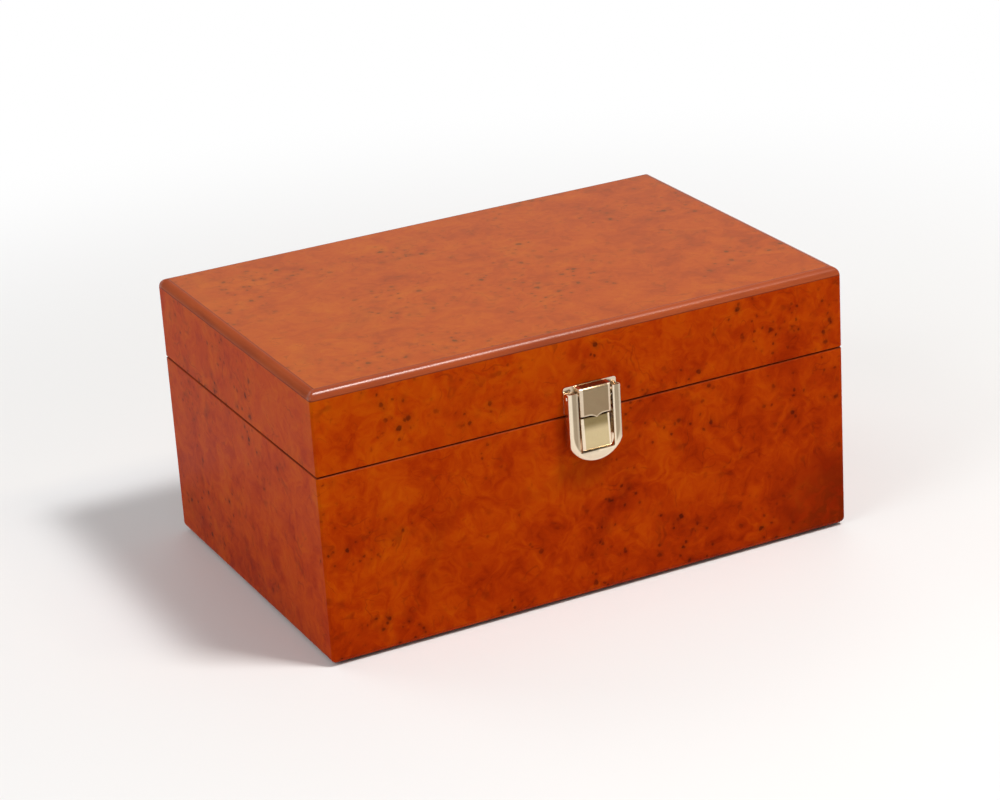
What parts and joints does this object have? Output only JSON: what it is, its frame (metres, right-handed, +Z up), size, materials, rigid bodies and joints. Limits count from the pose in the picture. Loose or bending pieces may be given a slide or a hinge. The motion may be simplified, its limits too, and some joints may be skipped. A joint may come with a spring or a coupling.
{
  "type": "chess box",
  "caption": "Lidded wooden box for chess pieces in glossy burl veneer, with lined compartments either side of a divider, a stop-hinged lid and a snap clip at the front.",
  "frame": {"origin": "middle of the underside, on the plane that the box stands on", "axes": "+X to the right along the front, +Y from the front to the back, +Z up"},
  "size_m": [0.24, 0.1713, 0.117],
  "materials": {
    "burl_veneer": "gloss lacquer over red-orange burl veneer",
    "inner_board": "plain board",
    "baize": "green woollen baize",
    "felt": "green felt",
    "hinge_metal": "nickel plated",
    "screw_steel": "nickel plated",
    "clip_nickel": "warm polished nickel plate",
    "nail_steel": "nickel plated"
  },
  "bodies": {
    "base": {"base_front": "burl_veneer", "base_back": "burl_veneer", "base_left": "burl_veneer", "base_right": "burl_veneer", "base_bottom": "inner_board", "divider_board": "inner_board", "divider_cover": "baize", "base_wall_lining": "baize", "floor_lining_left": "baize", "floor_lining_right": "baize", "underside_felt": "felt", "hinge_left_base_leaf": "hinge_metal", "hinge_right_base_leaf": "hinge_metal", "hinge_left_pin": "hinge_metal", "hinge_right_pin": "hinge_metal", "hinge_base_screws": "screw_steel", "clip_catch": "clip_nickel", "clip_catch_nails": "nail_steel"},
    "lid": {"lid_top": "burl_veneer", "lid_front": "burl_veneer", "lid_back": "burl_veneer", "lid_left": "burl_veneer", "lid_right": "burl_veneer", "lid_wall_lining": "baize", "lid_top_lining": "baize", "hinge_left_lid_leaf": "hinge_metal", "hinge_right_lid_leaf": "hinge_metal", "hinge_lid_screws": "screw_steel", "clip_lid_plate": "clip_nickel", "clip_lid_nails": "nail_steel", "clip_pin": "clip_nickel"},
    "hasp": {"clip_hasp": "clip_nickel"}
  },
  "joints": [
    {"name": "lid_hinge", "type": "hinge", "parent": "base", "child": "lid", "pos_m": [0, 0.0824, 0.0815], "axis": [-1, 0, 0], "range_deg": [0, 95]},
    {"name": "hasp_hinge", "type": "hinge", "parent": "lid", "child": "hasp", "pos_m": [0, -0.0832, 0.0901], "axis": [-1, 0, 0], "range_deg": [0, 90]}
  ]
}
